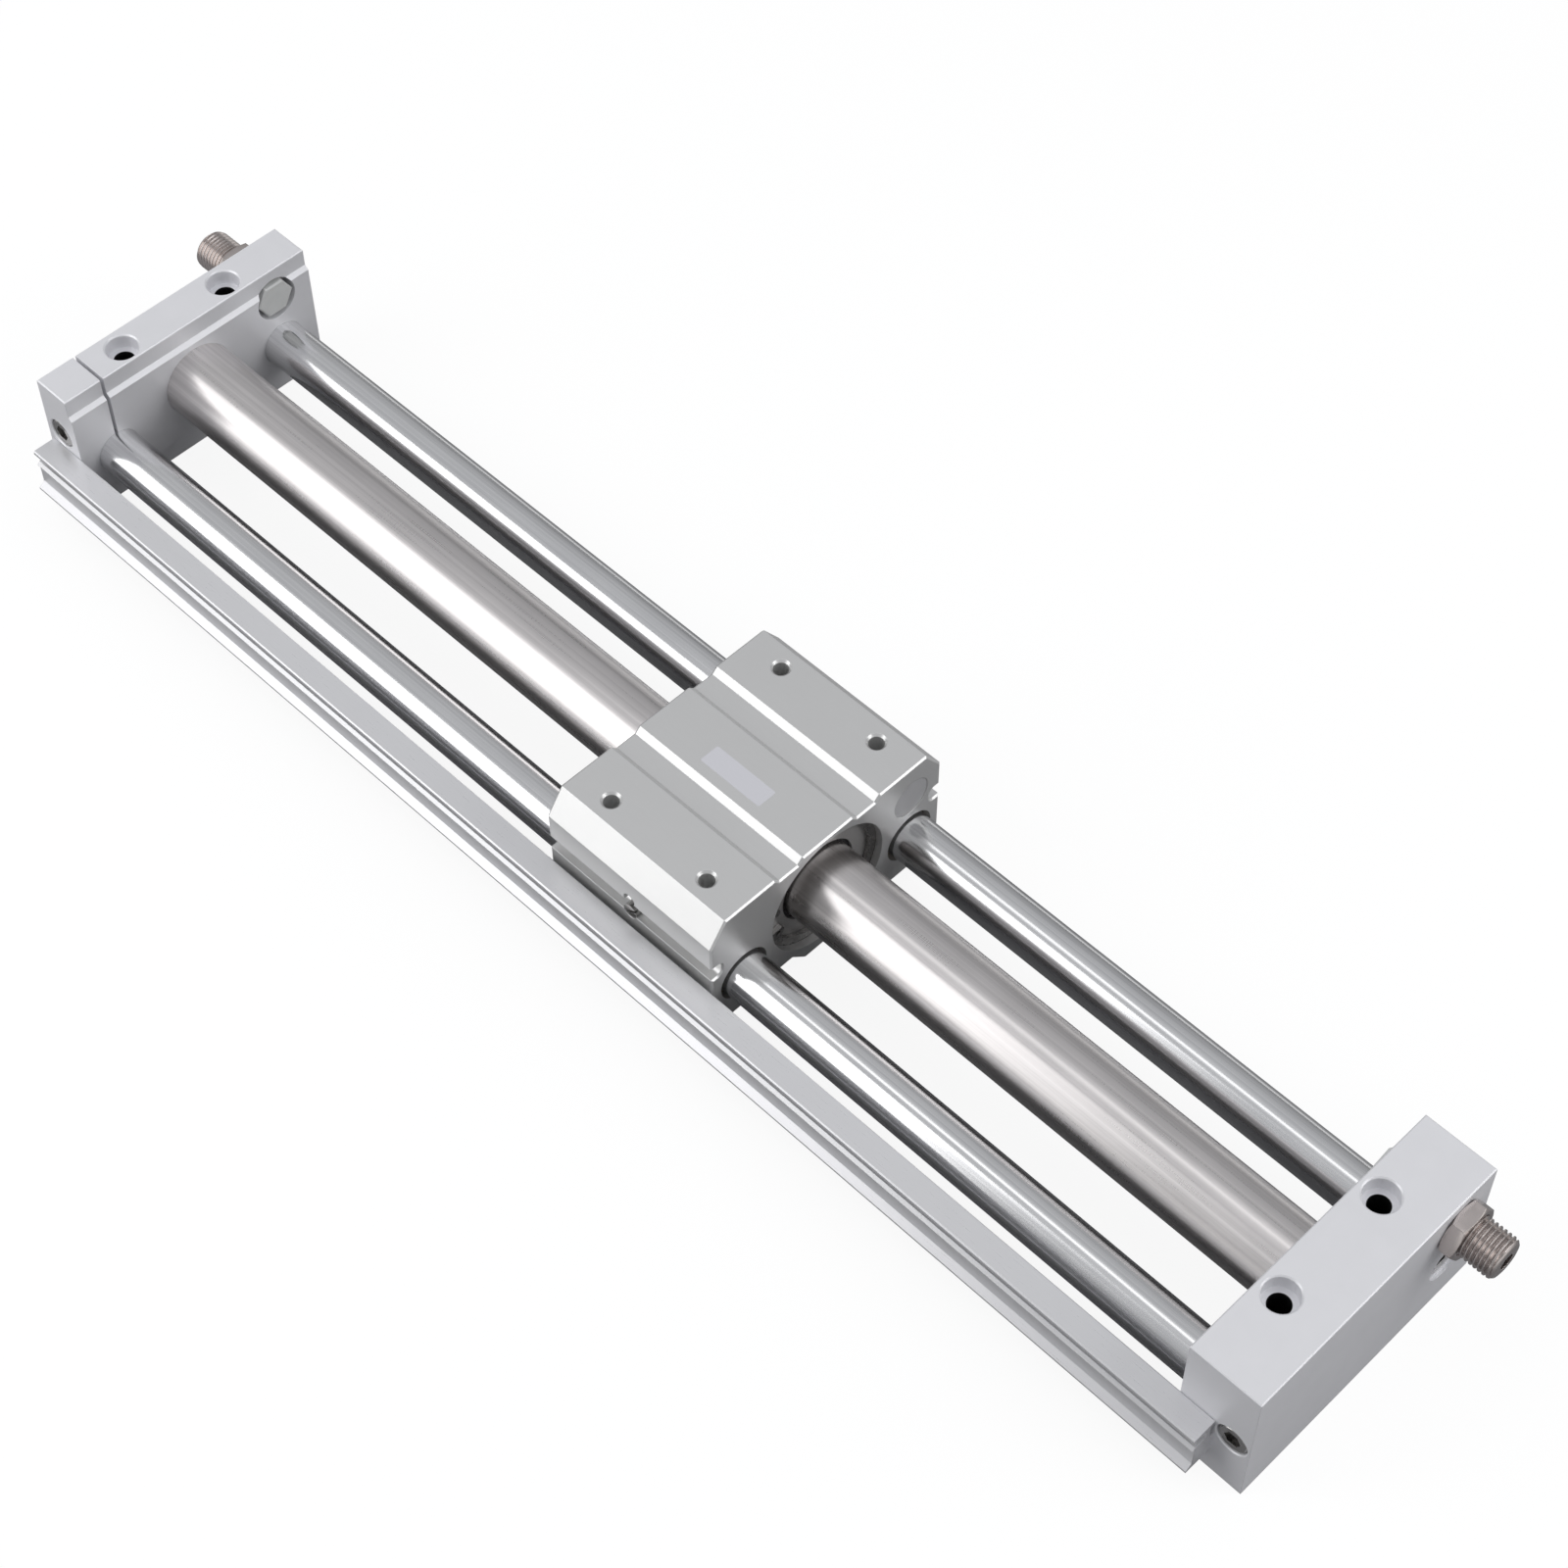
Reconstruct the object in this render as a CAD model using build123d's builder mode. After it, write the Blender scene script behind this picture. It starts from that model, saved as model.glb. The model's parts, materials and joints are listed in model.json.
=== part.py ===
from build123d import *
import math
import os

# Magnetically coupled rodless cylinder: two end plates carry a thin tube and two guide
# shafts, and a slide block outside the tube follows a piston inside it.
# Millimetres. X runs along the stroke, +Y to the rear, +Z up. The origin is the centre
# of the four base holes, on the base plane.

# Cylinder tube, with its ends over a spigot in each plate
tube_z = 28.9
tube_bore_r = 12.5
tube_wall = 0.8
tube_r = tube_bore_r + tube_wall
tube_seat_depth = 6.0
tube_seat_fit = 0.02
spigot_fit = 0.02
spigot_reach = 5.0
gasket_groove_length = 2.4
gasket_groove_depth = 1.9
gasket_fit = 0.02
air_hole_r = 4.0
air_hole_depth_left = 15.0
air_hole_depth_right = 26.0
port_r = 4.4
port_depth = 8.0
passage_r = 2.0

# Guide shafts
shaft_r = 8.0
shaft_z = 20.7
shaft_seat_depth = 12.0
shaft_fit = 0.02
shaft_chamfer = 0.8
clamp_slit_width = 1.2
clamp_slit_offset = 0.4

# Bearings and magnet pack between the block and the tube
main_bore_r = 23.1
pack_fit = 0.05
ring_inset = 2.6
ring_thickness = 1.6
ring_seat_gap = 0.1
ring_groove_depth = 0.9
ring_groove_fit = 0.05
ring_width = 3.6
ring_gap_angle = 188.0
ring_gap_width = 7.0
lug_offset = 0.6
lug_r = 2.4
lug_hole_r = 0.9
lug_half_angle = 15.0
holder_length = 8.0
holder_gap = 1.3
scraper_length = 2.2
wear_ring_length = 4.6
tube_running_fit = 0.06
liner_fit = 0.02
sleeve_wall = 1.4
magnet_count = 3
magnet_length = 8.0
yoke_length = 5.1
outer_magnet_gap = 0.7
bushing_wall = 1.23
bushing_fit = 0.02
bushing_length = 25.0
bushing_inset = 3.0
bore_web = 2.6
shaft_running_fit = 0.05

pack_length = magnet_count * magnet_length + (magnet_count + 1) * yoke_length
pack_r = main_bore_r - pack_fit
ring_groove_r = main_bore_r + ring_groove_depth
bushing_r = shaft_r + shaft_running_fit + bushing_wall
bushing_mouth_r = bushing_r + bushing_fit
shaft_y = main_bore_r + bore_web + bushing_mouth_r

# Slide block: its length holds the pack, a holder and a retaining ring at each end
block_x = 22.3
block_length = pack_length + 2 * (holder_length + ring_seat_gap + ring_thickness + ring_inset)
block_roof = 1.9
block_side_wall = 12.8
shoulder_width = 6.2
shoulder_z = 45.0
end_edge_break = 0.6
channel_outer_y = 21.7
channel_inner_y = 10.2
channel_depth = 2.0
wing_bottom = 4.3
wing_chamfer = 2.0
wing_width = 22.8
belly_z = 7.0
belly_y = 15.0
keel_z = 1.6
keel_y = 9.6
block_hole_pitch_x = 40.0
block_hole_pitch_y = 70.0
block_hole_r = 2.5
block_hole_depth = 12.0
block_hole_mouth_r = 3.3
side_groove_z = 32.4
side_groove_height = 5.6
side_groove_depth = 4.3
side_groove_round = 2.0
magnet_pocket_z = 30.2
magnet_pocket_r = 2.65
magnet_pocket_fit = 0.05
magnet_thickness = 2.4
magnet_screw_thickness = 2.8
magnet_screw_recess = 0.2
magnet_slot_width = 0.8
magnet_slot_depth = 1.2
magnet_slot_turn = 35.0
screw_notch_r = 2.2
screw_notch_z = 36.3
screw_notch_depth = 5.0
end_pad_r = 7.2
end_pad_length = 4.0
end_pad_recess = 0.4
end_pad_fit = 0.02
end_pad_z = 39.6

block_half_width = shaft_y + block_side_wall
block_left = block_x - block_length / 2
block_right = block_x + block_length / 2
block_top = tube_z + main_bore_r + block_roof

# End plates and their base holes; the plates are a little wider than the slide block
base_pitch_x = 490.0
base_pitch_y = 42.0
base_hole_r = 3.4
base_counterbore_r = 5.5
base_counterbore_depth = 5.6
base_rim_chamfer = 0.5
left_hole_to_face = 7.8
right_hole_to_face = 17.2
left_thickness = 16.0
right_thickness = 24.6
plate_overhang = 1.7
plate_height = 52.6
step_height = 6.8
step_depth = 1.4
edge_break = 0.4

plate_width = 2 * (block_half_width + plate_overhang)
left_outer = -base_pitch_x / 2 - left_hole_to_face
left_inner = left_outer + left_thickness
right_outer = base_pitch_x / 2 + right_hole_to_face
right_inner = right_outer - right_thickness
front_y = -plate_width / 2
rear_y = plate_width / 2
through = 1.0

# End stops: a hexagonal bumper in a round pocket, a threaded bolt and a lock nut on one axis
stop_y = 35.3
stop_z = 40.5
bolt_r = 6.9
bolt_fit = 0.06
bumper_flats = 12.5
bumper_edge = 0.5
bumper_length = 4.0
bumper_turn_left = 0.0
bumper_turn_right = 15.0
bumper_pocket_gap = 0.55
bumper_pocket_depth = 6.0
bumper_recess_left = 0.3
bumper_reach_right = 2.0
bumper_gap = 0.3
nose_r = 3.0
nose_length = 2.4
nose_fit = 0.05
bolt_reach_left = 19.0
bolt_reach_right = 16.5
bolt_tip_chamfer = 2.2
bolt_socket_flats = 5.0
bolt_socket_depth = 4.0
nut_flats = 17.0
nut_thickness = 5.2
nut_turn_left = 0.0
nut_turn_right = 5.0
nut_corner_height = 0.7
nut_face_land = 0.1
nut_face_gap = 0.1

bumper_corner_r = bumper_flats / math.sqrt(3)

# Piston inside the tube; each gap is what its piece leaves to the tube's bore
rod_r = 4.0
rod_fit = 0.02
inner_magnet_gap = 0.9
inner_yoke_gap = 0.4
piston_gap = 0.3
piston_length = 6.0
seal_width = 2.1
seal_length = 1.8
seal_offset = 3.5
guide_ring_width = 1.1
guide_ring_length = 2.0
guide_ring_offset = 0.8
bore_running_fit = 0.05
rod_nut_flats = 10.0
rod_nut_length = 2.8
cushion_outer_r = 9.6
cushion_inner_r = 6.2
cushion_length = 3.2

# Switch rail along the front side
rail_inset_left = 2.0
rail_inset_right = 12.2
rail_top = 27.0
rail_bottom = 9.8
rail_flange_out = 10.0
rail_flange_height = 0.8
rail_flange_rise = 2.6
rail_body_out = 7.8
rail_lip_out = 8.55
rail_lip_height = 0.5
rail_lip_slope_width = 0.95
rail_lip_slope_height = 1.2
rail_roof_out = 8.7
rail_roof = 1.5
rail_slot_height = 3.9
rail_slot_depth = 5.5
rail_back_groove_depth = 1.6
rail_back_groove_low = 19.6
rail_back_groove_high = 25.2
rail_screw_inset = 5.0
rail_screw_r = 1.25
rail_screw_head_r = 1.7
rail_screw_head_length = 2.0
rail_screw_length = 8.8
rail_screw_fit = 0.02

# Screws and plugs in the plates and in the block
socket_flats = 5.0
plug_r = 5.0
plug_fit = 0.3
plug_chamfer = 0.5
plug_length = 5.5
plug_recess = 0.4
pocket_rim = 0.4
plug_socket_depth = 3.2
side_plug_to_face = 6.4
side_plug_z = 23.4
axial_plug_z = 19.9
axial_spotface_r = 7.0
axial_spotface_depth = 1.0
clamp_screw_to_face = 7.1
clamp_screw_z = 32.6
clamp_head_length = 5.0
clamp_shank_r = 2.5
clamp_shank_length = 17.0
clamp_shank_fit = 0.02

side_plug_x = right_outer - side_plug_to_face
clamp_screw_x = left_outer + clamp_screw_to_face

os.makedirs("parts", exist_ok=True)


def save(piece, name):
    piece.part.label = name
    export_step(piece.part, f"parts/{name}.step")


def tube_axis_ring(x_start, length, inner_r, outer_r):
    """A ring, or a disc when inner_r is 0, around the tube's axis."""
    with BuildPart() as ring:
        with BuildSketch(Plane.YZ.offset(x_start)):
            with Locations((0, tube_z)):
                Circle(outer_r)
                if inner_r:
                    Circle(inner_r, mode=Mode.SUBTRACT)
        extrude(amount=length)
    return ring


def bore_x(x_start, length, radius, y, z):
    """Cut a round hole along X into the open part; length may be negative."""
    with BuildSketch(Plane.YZ.offset(x_start)) as outline:
        with Locations((y, z)):
            Circle(radius)
    extrude(outline.sketch, amount=length, mode=Mode.SUBTRACT)


def bore_y(y_start, depth, radius, x, z):
    """Cut a round hole along Y into the open part; positive depth runs to the rear."""
    with BuildSketch(Plane.XZ.offset(-y_start)) as outline:
        with Locations((x, z)):
            Circle(radius)
    extrude(outline.sketch, amount=-depth, mode=Mode.SUBTRACT)


def hex_socket_x(x_start, depth, flats, y, z):
    with BuildSketch(Plane.YZ.offset(x_start)) as outline:
        with Locations((y, z)):
            RegularPolygon(flats / 2, 6, major_radius=False)
    extrude(outline.sketch, amount=depth, mode=Mode.SUBTRACT)


def hex_socket_y(y_start, depth, flats, x, z):
    with BuildSketch(Plane.XZ.offset(-y_start)) as outline:
        with Locations((x, z)):
            RegularPolygon(flats / 2, 6, major_radius=False)
    extrude(outline.sketch, amount=-depth, mode=Mode.SUBTRACT)


def base_holes(x):
    with Locations((x, -base_pitch_y / 2, plate_height), (x, base_pitch_y / 2, plate_height)):
        CounterSinkHole(
            base_counterbore_r,
            base_counterbore_r + base_rim_chamfer,
            depth=base_counterbore_depth,
            counter_sink_angle=90,
        )
        Hole(base_hole_r)


def plate_seats(face, outward, thickness):
    """Everything that enters a plate from its inner face; outward is -1 or 1 along X."""
    spigot_r = tube_bore_r - spigot_fit
    bore_x(face, outward * tube_seat_depth, tube_r + tube_seat_fit, 0, tube_z)
    with BuildSketch(Plane.YZ.offset(face + outward * tube_seat_depth)) as spigot:
        with Locations((0, tube_z)):
            Circle(spigot_r)
    extrude(spigot.sketch, amount=-outward * (tube_seat_depth + spigot_reach))
    with BuildSketch(Plane.YZ.offset(face)) as gasket_groove:
        with Locations((0, tube_z)):
            Circle(tube_bore_r)
            Circle(tube_bore_r - gasket_groove_depth, mode=Mode.SUBTRACT)
    extrude(gasket_groove.sketch, amount=-outward * gasket_groove_length, mode=Mode.SUBTRACT)
    for y in (-shaft_y, shaft_y):
        bore_x(face, outward * shaft_seat_depth, shaft_r + shaft_fit, y, shaft_z)
    pocket_r = bumper_corner_r + bumper_pocket_gap
    bore_x(face, outward * bumper_pocket_depth, pocket_r, stop_y, stop_z)
    bore_x(face, outward * (thickness + through), bolt_r + bolt_fit, stop_y, stop_z)


def front_rim(plate):
    """The rim of the round pocket in a plate's front face."""
    rims = plate.edges().filter_by(GeomType.CIRCLE).group_by(Axis.Y)[0]
    return rims.sort_by(SortBy.RADIUS)[-1]


def rail_screw_hole(x):
    bore_y(front_y, rail_screw_length - rail_slot_web, rail_screw_r + rail_screw_fit, x, rail_slot_z)


rail_slot_high = rail_top - rail_roof
rail_slot_low = rail_slot_high - rail_slot_height
rail_slot_z = (rail_slot_high + rail_slot_low) / 2
rail_slot_web = rail_roof_out - rail_slot_depth
rail_lip_z = rail_slot_low - rail_lip_slope_height
rail_left = left_outer + rail_inset_left
rail_right = right_outer - rail_inset_right
rail_screw_xs = (rail_left + rail_screw_inset, rail_right - rail_screw_inset)

# Left end plate, with a step along the top and bottom of its inner face
with BuildPart() as end_plate_left:
    with BuildSketch(Plane.XZ):
        with BuildLine():
            Polyline(
                (left_outer, 0),
                (left_inner - step_depth, 0),
                (left_inner - step_depth, step_height),
                (left_inner, step_height + step_depth),
                (left_inner, plate_height - step_height - step_depth),
                (left_inner - step_depth, plate_height - step_height),
                (left_inner - step_depth, plate_height),
                (left_outer, plate_height),
                close=True,
            )
        make_face()
    extrude(amount=plate_width / 2, both=True)
    top_rim = end_plate_left.faces().sort_by(Axis.Z)[-1].edges()
    chamfer(top_rim, length=edge_break)
    base_holes(-base_pitch_x / 2)
    plate_seats(left_inner, -1, left_thickness)
    bore_x(left_inner + spigot_reach, -air_hole_depth_left, air_hole_r, 0, tube_z)
    bore_x(left_outer, port_depth, port_r, 0, tube_z)
    # The clamp screw closes this slit on the front guide shaft
    with BuildSketch(Plane.YZ.offset(left_outer)):
        with Locations((clamp_slit_offset - shaft_y, (shaft_z + plate_height + through) / 2)):
            Rectangle(clamp_slit_width, plate_height + through - shaft_z)
    extrude(amount=left_thickness, mode=Mode.SUBTRACT)
    clamp_pocket_depth = plug_recess + clamp_head_length
    bore_y(front_y, clamp_pocket_depth, plug_r + plug_fit, clamp_screw_x, clamp_screw_z)
    bore_y(
        front_y,
        clamp_pocket_depth + clamp_shank_length,
        clamp_shank_r + clamp_shank_fit,
        clamp_screw_x,
        clamp_screw_z,
    )
    chamfer(front_rim(end_plate_left), length=pocket_rim)
    rail_screw_hole(rail_screw_xs[0])
save(end_plate_left, "end_plate_left")

# Right end plate, with the air passage from its plugged ports to the tube
with BuildPart() as end_plate_right:
    with BuildSketch(Plane.XZ):
        with Locations(((right_inner + right_outer) / 2, plate_height / 2)):
            Rectangle(right_thickness, plate_height)
    extrude(amount=plate_width / 2, both=True)
    top_rim = end_plate_right.faces().sort_by(Axis.Z)[-1].edges()
    chamfer(top_rim, length=edge_break)
    base_holes(base_pitch_x / 2)
    plate_seats(right_inner, 1, right_thickness)
    bore_x(right_inner - spigot_reach, air_hole_depth_right, air_hole_r, 0, tube_z)
    bore_y(front_y, plug_recess + plug_length, plug_r + plug_fit, side_plug_x, side_plug_z)
    bore_y(front_y, plate_width, passage_r, side_plug_x, side_plug_z)
    chamfer(front_rim(end_plate_right), length=pocket_rim)
    bore_y(rear_y, -port_depth, port_r, side_plug_x, side_plug_z)
    bore_x(right_outer, -axial_spotface_depth, axial_spotface_r, shaft_y, axial_plug_z)
    axial_pocket_depth = axial_spotface_depth + plug_recess + plug_length
    bore_x(right_outer, -axial_pocket_depth, plug_r + plug_fit, shaft_y, axial_plug_z)
    rail_screw_hole(rail_screw_xs[1])
save(end_plate_right, "end_plate_right")

# Cylinder tube and the gaskets between it and the spigots
tube_left = left_inner - tube_seat_depth
tube_right = right_inner + tube_seat_depth
cylinder_tube = tube_axis_ring(tube_left, tube_right - tube_left, tube_bore_r, tube_r)
save(cylinder_tube, "cylinder_tube")

with BuildPart() as tube_gaskets:
    for groove_start in (left_inner, right_inner - gasket_groove_length):
        with BuildSketch(Plane.YZ.offset(groove_start + gasket_fit)):
            with Locations((0, tube_z)):
                Circle(tube_bore_r - gasket_fit)
                Circle(tube_bore_r - gasket_groove_depth + gasket_fit, mode=Mode.SUBTRACT)
        extrude(amount=gasket_groove_length - 2 * gasket_fit)
save(tube_gaskets, "tube_gaskets")

# Guide shafts
for name, y in (("front", -shaft_y), ("rear", shaft_y)):
    with BuildPart() as guide_shaft:
        with BuildSketch(Plane.YZ.offset(left_inner - shaft_seat_depth)):
            with Locations((y, shaft_z)):
                Circle(shaft_r)
        extrude(amount=right_inner - left_inner + 2 * shaft_seat_depth)
        chamfer(guide_shaft.edges().filter_by(GeomType.CIRCLE), length=shaft_chamfer)
    save(guide_shaft, f"guide_shaft_{name}")

# Switch rail: one extrusion whose outward slot takes the position switches
with BuildPart() as switch_rail:
    with BuildSketch(Plane.YZ.offset(rail_left)):
        with BuildLine():
            Polyline(
                (front_y, rail_bottom),
                (front_y - rail_flange_out, rail_bottom),
                (front_y - rail_flange_out, rail_bottom + rail_flange_height),
                (front_y - rail_body_out, rail_bottom + rail_flange_rise),
                (front_y - rail_body_out, rail_lip_z - rail_lip_height),
                (front_y - rail_lip_out, rail_lip_z),
                (front_y - rail_lip_out + rail_lip_slope_width, rail_slot_low),
                (front_y - rail_slot_web, rail_slot_low),
                (front_y - rail_slot_web, rail_slot_high),
                (front_y - rail_roof_out, rail_slot_high),
                (front_y - rail_roof_out, rail_top - edge_break),
                (front_y - rail_roof_out + edge_break, rail_top),
                (front_y - edge_break, rail_top),
                (front_y, rail_top - edge_break),
                (front_y, rail_back_groove_high),
                (front_y - rail_back_groove_depth, rail_back_groove_high),
                (front_y - rail_back_groove_depth, rail_back_groove_low),
                (front_y, rail_back_groove_low),
                close=True,
            )
        make_face()
    extrude(amount=rail_right - rail_left)
    for x in rail_screw_xs:
        bore_y(front_y - rail_slot_web, rail_slot_web, rail_screw_r + rail_screw_fit, x, rail_slot_z)
save(switch_rail, "switch_rail")

with BuildPart() as rail_screws:
    for x in rail_screw_xs:
        with BuildSketch(Plane.XZ.offset(rail_slot_web - front_y)):
            with Locations((x, rail_slot_z)):
                Circle(rail_screw_head_r)
        extrude(amount=rail_screw_head_length)
        with BuildSketch(Plane.XZ.offset(rail_slot_web - front_y)):
            with Locations((x, rail_slot_z)):
                Circle(rail_screw_r)
        extrude(amount=-rail_screw_length)
save(rail_screws, "rail_screws")

# Clamp screw in the left plate
clamp_head_y = front_y + plug_recess
with BuildPart() as clamp_screw:
    with BuildSketch(Plane.XZ.offset(-clamp_head_y)):
        with Locations((clamp_screw_x, clamp_screw_z)):
            Circle(plug_r)
    extrude(amount=-clamp_head_length)
    chamfer(clamp_screw.edges().group_by(Axis.Y)[0], length=plug_chamfer)
    with BuildSketch(Plane.XZ.offset(-clamp_head_y - clamp_head_length)):
        with Locations((clamp_screw_x, clamp_screw_z)):
            Circle(clamp_shank_r)
    extrude(amount=-clamp_shank_length)
    hex_socket_y(clamp_head_y, plug_socket_depth, socket_flats, clamp_screw_x, clamp_screw_z)
save(clamp_screw, "clamp_screw")

# Plugs that close the right plate's spare ports
with BuildPart() as side_plug:
    with BuildSketch(Plane.XZ.offset(-front_y - plug_recess)):
        with Locations((side_plug_x, side_plug_z)):
            Circle(plug_r)
    extrude(amount=-plug_length)
    chamfer(side_plug.edges().group_by(Axis.Y)[0], length=plug_chamfer)
    hex_socket_y(front_y + plug_recess, plug_socket_depth, socket_flats, side_plug_x, side_plug_z)
save(side_plug, "side_plug")

axial_plug_face = right_outer - axial_spotface_depth - plug_recess
with BuildPart() as axial_plug:
    with BuildSketch(Plane.YZ.offset(axial_plug_face)):
        with Locations((shaft_y, axial_plug_z)):
            Circle(plug_r)
    extrude(amount=-plug_length)
    chamfer(axial_plug.edges().group_by(Axis.X)[-1], length=plug_chamfer)
    hex_socket_x(axial_plug_face, -plug_socket_depth, socket_flats, shaft_y, axial_plug_z)
save(axial_plug, "axial_plug")


def end_stop(side, inner_face, outer_face, bumper_face, bumper_turn, bolt_reach, nut_turn):
    """Bumper, bolt and lock nut of one stop; side is -1 on the left, 1 on the right."""
    bumper_back = bumper_face + side * bumper_length
    with BuildPart() as bumper:
        with BuildSketch(Plane.YZ.offset(bumper_face)):
            with Locations((stop_y, stop_z)):
                RegularPolygon(bumper_flats / 2, 6, major_radius=False, rotation=bumper_turn)
        extrude(amount=side * bumper_length)
        front_face = bumper.faces().filter_by(Plane.YZ).sort_by(Axis.X)[-1 if side < 0 else 0]
        chamfer(front_face.edges(), length=bumper_edge)
        nose_bore = nose_length + bumper_gap
        bore_x(bumper_back, -side * nose_bore, nose_r + nose_fit, stop_y, stop_z)

    bolt_inner = bumper_back + side * bumper_gap
    bolt_outer = outer_face + side * bolt_reach
    with BuildPart() as bolt:
        with BuildSketch(Plane.YZ.offset(bolt_inner)):
            with Locations((stop_y, stop_z)):
                Circle(bolt_r)
        extrude(amount=bolt_outer - bolt_inner)
        tip = bolt.edges().filter_by(GeomType.CIRCLE).sort_by(Axis.X)[0 if side < 0 else -1]
        chamfer(tip, length=bolt_tip_chamfer)
        with BuildSketch(Plane.YZ.offset(bolt_inner)):
            with Locations((stop_y, stop_z)):
                Circle(nose_r)
        extrude(amount=-side * nose_length)
        hex_socket_x(bolt_outer, -side * bolt_socket_depth, bolt_socket_flats, stop_y, stop_z)

    nut_face = outer_face + side * nut_face_gap
    nut_corner_r = nut_flats / math.sqrt(3)
    with BuildPart() as nut:
        with BuildSketch(Plane.YZ.offset(nut_face)):
            with Locations((stop_y, stop_z)):
                RegularPolygon(nut_flats / 2, 6, major_radius=False, rotation=nut_turn)
                Circle(bolt_r + bolt_fit, mode=Mode.SUBTRACT)
        extrude(amount=side * nut_thickness)
        with BuildSketch(Plane((nut_face, stop_y, stop_z), x_dir=(side, 0, 0), z_dir=(0, -side, 0))):
            with BuildLine():
                Polyline(
                    (0, 0),
                    (0, nut_flats / 2 - nut_face_land),
                    (nut_corner_height, nut_corner_r),
                    (nut_thickness - nut_corner_height, nut_corner_r),
                    (nut_thickness, nut_flats / 2 - nut_face_land),
                    (nut_thickness, 0),
                    close=True,
                )
            make_face()
        revolve(axis=Axis((0, stop_y, stop_z), (1, 0, 0)), mode=Mode.INTERSECT)
    return bumper, bolt, nut


bumper_left, stop_bolt_left, lock_nut_left = end_stop(
    -1,
    left_inner,
    left_outer,
    left_inner - bumper_recess_left,
    bumper_turn_left,
    bolt_reach_left,
    nut_turn_left,
)
bumper_right, stop_bolt_right, lock_nut_right = end_stop(
    1,
    right_inner,
    right_outer,
    right_inner - bumper_reach_right,
    bumper_turn_right,
    bolt_reach_right,
    nut_turn_right,
)
save(bumper_left, "bumper_left")
save(stop_bolt_left, "stop_bolt_left")
save(lock_nut_left, "lock_nut_left")
save(bumper_right, "bumper_right")
save(stop_bolt_right, "stop_bolt_right")
save(lock_nut_right, "lock_nut_right")

# Slide block
with BuildPart() as slide_block:
    with BuildSketch(Plane.YZ.offset(block_left)):
        with BuildLine():
            Polyline(
                (0, block_top),
                (channel_inner_y, block_top),
                (channel_inner_y + channel_depth, block_top - channel_depth),
                (channel_outer_y - channel_depth, block_top - channel_depth),
                (channel_outer_y, block_top),
                (block_half_width - shoulder_width, block_top),
                (block_half_width, shoulder_z),
                (block_half_width, wing_bottom + wing_chamfer),
                (block_half_width - wing_chamfer, wing_bottom),
                (block_half_width - wing_width, wing_bottom),
                (block_half_width - wing_width - belly_z + wing_bottom, belly_z),
                (belly_y, belly_z),
                (keel_y, keel_z),
                (0, keel_z),
            )
            mirror(about=Plane.YZ)
        make_face()
        with Locations((-block_half_width, side_groove_z), (block_half_width, side_groove_z)):
            RectangleRounded(
                2 * side_groove_depth, side_groove_height, side_groove_round, mode=Mode.SUBTRACT
            )
        with Locations((0, tube_z)):
            Circle(main_bore_r, mode=Mode.SUBTRACT)
        with Locations((-shaft_y, shaft_z), (shaft_y, shaft_z)):
            Circle(bushing_mouth_r, mode=Mode.SUBTRACT)
    extrude(amount=block_length)
    end_faces = slide_block.faces().filter_by(Plane.YZ).sort_by(Axis.X)
    end_outlines = end_faces[0].outer_wire().edges() + end_faces[-1].outer_wire().edges()
    chamfer(end_outlines, length=end_edge_break)
    groove_inset = ring_inset - ring_groove_fit
    groove_length = ring_thickness + 2 * ring_groove_fit
    bore_x(block_left + groove_inset, groove_length, ring_groove_r, 0, tube_z)
    bore_x(block_right - groove_inset, -groove_length, ring_groove_r, 0, tube_z)
    for face, inward in ((block_left, 1), (block_right, -1)):
        pad_depth = end_pad_recess + end_pad_length
        bore_x(face, inward * pad_depth, end_pad_r + end_pad_fit, stop_y, end_pad_z)
    with Locations((block_x, 0, block_top)):
        with GridLocations(block_hole_pitch_x, block_hole_pitch_y, 2, 2):
            CounterSinkHole(
                block_hole_r, block_hole_mouth_r, depth=block_hole_depth, counter_sink_angle=90
            )
    bore_y(-block_half_width, screw_notch_depth, screw_notch_r, block_x, screw_notch_z)
    magnet_pocket_depth = magnet_screw_recess + magnet_screw_thickness + magnet_thickness
    bore_y(-block_half_width, magnet_pocket_depth, magnet_pocket_r, block_x, magnet_pocket_z)
save(slide_block, "slide_block")

# Flush pads that meet the bumpers
for name, x in (
    ("left", block_left + end_pad_recess),
    ("right", block_right - end_pad_recess - end_pad_length),
):
    with BuildPart() as end_pad:
        with BuildSketch(Plane.YZ.offset(x)):
            with Locations((stop_y, end_pad_z)):
                Circle(end_pad_r)
        extrude(amount=end_pad_length)
    save(end_pad, f"end_pad_{name}")

# Switch magnet at the bottom of its pocket, and the slotted screw that closes the pocket
magnet_seat_y = -block_half_width + magnet_pocket_depth
magnet_r = magnet_pocket_r - magnet_pocket_fit
with BuildPart() as switch_magnet:
    with BuildSketch(Plane.XZ.offset(-magnet_seat_y)):
        with Locations((block_x, magnet_pocket_z)):
            Circle(magnet_r)
    extrude(amount=magnet_thickness)
save(switch_magnet, "switch_magnet")

screw_face_y = -block_half_width + magnet_screw_recess
with BuildPart() as magnet_screw:
    with BuildSketch(Plane.XZ.offset(-screw_face_y)):
        with Locations((block_x, magnet_pocket_z)):
            Circle(magnet_r)
    extrude(amount=-magnet_screw_thickness)
    with BuildSketch(Plane.XZ.offset(-screw_face_y)):
        with Locations((block_x, magnet_pocket_z)):
            Rectangle(2 * magnet_pocket_r, magnet_slot_width, rotation=magnet_slot_turn)
    extrude(amount=-magnet_slot_depth, mode=Mode.SUBTRACT)
save(magnet_screw, "magnet_screw")

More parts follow.
